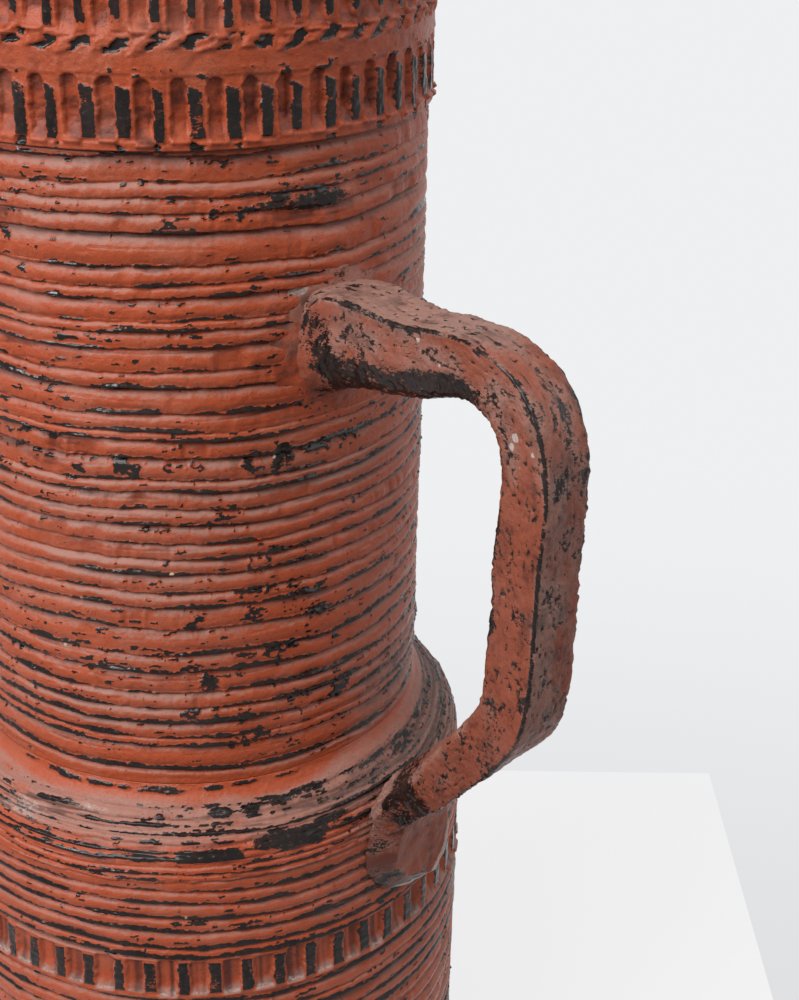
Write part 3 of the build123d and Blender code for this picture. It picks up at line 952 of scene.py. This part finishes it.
# Handle: wear and pits, and the finished points
bar_torn = layers(bar_turn, bar_rise, (0.6, 46, 2.2, 95), (0.5, 110, 1.0, 96), (0.3, 150, 0.7, 98))
bar_cloud = noise(bar_turn, bar_rise, 12, 9, 97)
bar_pits = smooth(0.5, 0.85, noise(bar_turn, bar_rise, 60, 1.8, 90) + 0.4 * bar_torn)
bar_wear = layers(
    bar_turn, bar_rise, (0.5, 4, 24, 91), (0.3, 10, 8, 92), (0.26, 34, 2.6, 93), (0.2, 90, 1.1, 94)
)
bar_wear = bar_wear + 0.35 * arris_line * (0.6 + bar_torn) - 0.5 * bar_pits
bar_wear = bar_wear * (1 + 1.2 * smooth(125, 105, bar_radius) * lower_arm)
swell = 1 + bar_wear / np.hypot(bar_across, bar_out)
bar_across = bar_across * swell
bar_out = bar_out * swell
rolled_across = bar_across * np.cos(bar_roll) - bar_out * np.sin(bar_roll)
rolled_out = bar_across * np.sin(bar_roll) + bar_out * np.cos(bar_roll)
bar_points = np.stack([
    bar_radius + rolled_out * bar_outward[:, :1],
    bar_drift - rolled_across,
    bar_height + rolled_out * bar_outward[:, 1:],
], axis=2)

# Handle: black, dust, painted sheen on the upper arm, and bubbles
bar_glaze = np.maximum.reduce([
    0.12 + 0.6 * bar_torn + 0.45 * bar_cloud - 0.15 * top,
    under * (1 - lower_arm) * (0.65 + 0.5 * bar_torn + 0.3 * bar_cloud),
    arris_line * (0.8 + 0.45 * bar_torn + 0.25 * bar_cloud),
    root * smooth(86, 94, bar_radius) * (0.8 + 0.55 * bar_torn + 0.4 * bar_cloud),
    belly * (0.9 + 0.5 * bar_torn + 0.2 * bar_cloud),
    bend * top * (0.15 + 0.6 * bar_torn + 0.5 * bar_cloud),
    landing * (0.75 + 0.5 * bar_torn + 0.4 * bar_cloud),
    0.7 * bar_pits,
])
bar_glaze = bar_glaze * (1 - 0.5 * smeared)
# The upper arm takes a pale cast all over that is painted sheen, and dust on its top
arm_dust_and_sheen = upper_arm * (0.35 + 0.65 * top * smooth(172, 140, bar_radius))
dusty_grip = (0.3 * top + 0.35 * beside_arris) * grip
bar_dust_and_sheen = 0.1 + arm_dust_and_sheen + dusty_grip + 0.35 * bar_cloud + 0.3 * smeared + 0.5 * under * lower_arm
bubbles = np.zeros_like(bar_turn)
for out_from_axis, level, size in pale_bubbles:
    reach = np.hypot(bar_points[..., 0] - out_from_axis, bar_points[..., 2] - level) / size
    bubbles = np.maximum(bubbles, smooth(1.2, 0.6, reach + 0.35 * bar_torn) * side)
bar_tone = 0.7 + 0.4 * noise(bar_turn, bar_rise, 20, 7, 99) + 0.35 * bar_torn - 0.5 * bar_pits
bar_ash = np.maximum(0.15 * smeared, 1.2 * bubbles)
bar_values = finish_values(bar_glaze * (1 - bubbles), bar_dust_and_sheen, bar_tone, bar_ash)
seat(grid_mesh("handle", bar_points, bar_values, handle_clay, False), "handle")

# Luting pads: turn, height, half width, half height, thickness, and how deep the edge sinks
upper_wide = 25
upper_tall = 27
upper_pad = (0.0, 397.0, upper_wide, upper_tall, 8.0, 0.5)
lower_pad = (math.radians(10.5), 198.0, 20.5, 21.5, 9.0, 0.8)

# How deep a pad's back lies in the wall, and the width that counts as one radian of its noise
pad_back = 3.0
pad_curl = 20

# Pale chip on the upper pad: its place left of and above the middle, slant, half length and half height
chip_left = 10.5
chip_above = 20.5
chip_slant = 0.4
chip_long = 6.0
chip_tall = 1.8


def pad(place, relief, radius_at):
    """Patch of clay smeared on the wall: its edge sinks into the wall and its back lies inside it."""
    turn, height, wide, tall, thick, edge = place
    spokes = np.arange(PAD_SPOKES) * (TAU / PAD_SPOKES)
    angle, reach = np.meshgrid(spokes, np.linspace(0.02, 1, PAD_RINGS))
    across = reach * wide * np.cos(angle)
    up = reach * tall * np.sin(angle)
    curl = across / pad_curl
    rise = thick * relief(reach, angle) - edge
    rise = rise + 0.5 * noise(curl, up, 21, 6, 101) + 0.25 * noise(curl, up, 52, 2.4, 102)
    level = height + up
    around = turn + across / radius_at(height)
    front = round_axis(radius_at(level) + rise, around, level)
    hidden = round_axis(radius_at(level) - pad_back, around, level)
    smear = layers(curl, up, (1, 17, 7, 103), (0.6, 52, 2.2, 104))
    return np.concatenate([hidden, front[::-1]]), angle, reach, smear


def neck_radius_at(level):
    """Radius of the neck's wall at a height."""
    widening = (neck_radius - neck_foot_radius) * (level - neck_base)
    return neck_foot_radius + widening / (collar_base - neck_base)


def body_radius_at(level):
    """Radius of the wall at a height, from the body up over the shoulder."""
    outline = np.array([(body_radius, body_base), *shoulder_line])
    return np.interp(level, outline[:, 1], outline[:, 0])


def mirrored(front):
    """Values for a pad: the hidden back, then the front from its edge inwards."""
    return np.concatenate([0 * front + 0.4, front[::-1]])


def thinned(reach, angle):
    """Smear that thins out towards its edge."""
    return (1 - reach) ** 1.3


def thumbed(reach, angle):
    """Flat face with a long bevel to the lower left and a thin raised rim to the lower right."""
    left = smooth(-0.2, 0.5, np.cos(angle - math.radians(205)))
    right = smooth(0.2, 0.8, np.cos(angle - math.radians(300)))
    bevel = 0.12 + 0.3 * left
    face = np.clip((1 - reach) / bevel, 0, 1) ** 0.75
    rim = 0.14 * right * hump(0.84, 0.07, reach)
    hollow = 0.16 * (1 - smooth(0.2, 0.75, reach))
    return face + rim - hollow


# Upper pad, with a pale slanting chip beside the root of the handle
points, angle, reach, smear = pad(upper_pad, thinned, neck_radius_at)
chip_across = reach * upper_wide * np.cos(angle) + chip_left
chip_up = reach * upper_tall * np.sin(angle) - chip_above
chip_along = (chip_across + chip_slant * chip_up) / chip_long
chip = np.hypot(chip_along, (chip_up - chip_slant * chip_across) / chip_tall)
values = finish_values(
    mirrored(0.15 + 0.45 * smear),
    mirrored(0.3 - 0.3 * smear + 0.5 * np.sin(angle)),
    mirrored(0.6 + 0.3 * smear),
    mirrored(0.55 * smooth(1.4, 0.6, chip + 0.8 * smear)),
)
piece = grid_mesh("upper_luting_pad", points, values, combed_clay, False)
seat(piece, "upper_luting_pad")

# Lower pad, dark to its lower left and ashy on its lower right edge
points, angle, reach, smear = pad(lower_pad, thumbed, body_radius_at)
lower_left = smooth(0.5, 0.66, reach) * smooth(-0.2, 0.4, np.cos(angle - math.radians(210)))
lower_right = smooth(0.74, 0.82, reach) * smooth(0.2, 0.7, np.cos(angle - math.radians(300)))
values = finish_values(
    mirrored(0.18 + lower_left * (0.4 + 0.3 * smear) + 0.35 * smear),
    mirrored(0.12 + 0.45 * lower_left + 0.45 * smear),
    mirrored(0.9 + 0.6 * smear - 0.4 * lower_left),
    mirrored(0.9 * lower_right),
)
piece = grid_mesh("lower_luting_pad", points, values, handle_clay, False)
seat(piece, "lower_luting_pad")

# Camera, as far from the jar and as tilted as in the photo
view_turn = math.radians(48)
view_down = 0.4384
view_roll = -0.0133
camera_place = Vector((483.6, -327.6, 579.6)) * MM
view_right = Vector((math.cos(view_turn), math.sin(view_turn), 0))
view_away = Vector((-math.sin(view_turn), math.cos(view_turn), 0))


def seen(right, away, up):
    """Point given as seen by the viewer from the jar's axis, in millimetres."""
    return (view_right * right + view_away * away + Vector((0, 0, up))) * MM


forward = view_away * math.cos(view_down) - Vector((0, 0, math.sin(view_down)))
level_up = view_away * math.sin(view_down) + Vector((0, 0, math.cos(view_down)))
camera_right = view_right * math.cos(view_roll) - level_up * math.sin(view_roll)
camera_up = view_right * math.sin(view_roll) + level_up * math.cos(view_roll)
camera_axes = Matrix((camera_right, camera_up, -forward)).transposed().to_4x4()
camera_data = bpy.data.cameras.new("camera")
camera_data.lens = 59.94
camera_data.sensor_width = 36
camera = placed("camera", camera_data)
camera.matrix_world = Matrix.Translation(camera_place) @ camera_axes
bpy.context.scene.camera = camera

# White plinth that the jar stands on
plinth_half = 271
plinth_height = 900
plinth_white = (0.93, 0.93, 0.935)
plinth_glow = (0.89, 0.89, 0.9)
plinth_evenness = 0.88
plinth_faces = {
    "plinth_top": [(-1, -1, 0), (1, -1, 0), (1, 1, 0), (-1, 1, 0)],
    "plinth_side": [(1, -1, -1), (1, 1, -1), (1, 1, 0), (1, -1, 0)],
    "plinth_back": [(1, 1, -1), (-1, 1, -1), (-1, 1, 0), (1, 1, 0)],
}


def white_paint():
    """Painted surface with a faint mottle, which looks evenly lit."""
    material = bpy.data.materials.new("white_paint")
    shading = Shading(material)
    shader = shading.nodes["Principled BSDF"]
    texture = shading.nodes.new("ShaderNodeTexNoise")
    texture.inputs["Scale"].default_value = 3
    shade = tuple(0.97 * c for c in plinth_white)
    shading.link(shading.mix(texture.outputs["Fac"], plinth_white, shade), shader.inputs["Base Color"])
    shader.inputs["Roughness"].default_value = 0.6
    glow = shading.nodes.new("ShaderNodeEmission")
    glow.inputs["Color"].default_value = (*plinth_glow, 1)
    even = shading.times(shading.looked_at(), plinth_evenness)
    shading.blend(even, shader.outputs["BSDF"], glow.outputs["Emission"], "Material Output")
    return material


white = white_paint()
for name, corners in plinth_faces.items():
    mesh = bpy.data.meshes.new(name)
    places = [seen(plinth_half * x, plinth_half * y, plinth_height * z) for x, y, z in corners]
    mesh.from_pydata([tuple(place) for place in places], [], [(0, 1, 2, 3)])
    mesh.materials.append(white)
    sheet = placed(name, mesh)

# Pale room: what the camera sees behind the jar, and its soft light, most of it from above
world = bpy.data.worlds.new("room")
bpy.context.scene.world = world
shading = Shading(world)
seen_room = shading.nodes.new("ShaderNodeBackground")
seen_room.inputs["Color"].default_value = (0.98, 0.985, 1.0, 1)
room_light = shading.nodes["Background"]
room_light.inputs["Color"].default_value = (0.97, 0.98, 1.0, 1)
direction = shading.nodes.new("ShaderNodeSeparateXYZ")
sky = shading.nodes.new("ShaderNodeTexCoord")
shading.link(sky.outputs["Generated"], direction.inputs["Vector"])
overhead = shading.step(-0.3, 0.9, direction.outputs["Z"], 0.12, 0.52)
skirting = shading.step(-0.7, -0.4, direction.outputs["Z"], 0.75, 0.88)
shading.link(overhead, room_light.inputs["Strength"])
shading.link(skirting, seen_room.inputs["Strength"])
shading.blend(
    shading.looked_at(), room_light.outputs["Background"], seen_room.outputs["Background"], "World Output"
)


# Height of the jar's middle, which the lamps face
window_aim = 330


def window(name, place, wide, tall, power, colour):
    """Soft light that faces the middle of the jar."""
    data = bpy.data.lights.new(name, "AREA")
    data.shape = "RECTANGLE"
    data.size = wide
    data.size_y = tall
    data.energy = power
    data.color = colour
    light = placed(name, data)
    light.location = place
    aim = seen(0, 0, window_aim) - place
    light.rotation_euler = aim.to_track_quat("-Z", "Y").to_euler()


# Lamps: a soft one in front, a wide thin one to the left for the glints, and a weak one to the right
window("window_front", seen(-620, -900, 1700), 1.0, 1.0, 29, (1.0, 0.98, 0.95))
window("window_left", seen(-1150, -1000, 1060), 1.0, 0.16, 18, (0.95, 0.97, 1.0))
window("window_right", seen(1300, -250, 1200), 1.2, 1.2, 9, (0.97, 0.98, 1.0))

bpy.context.scene.view_settings.view_transform = "Standard"
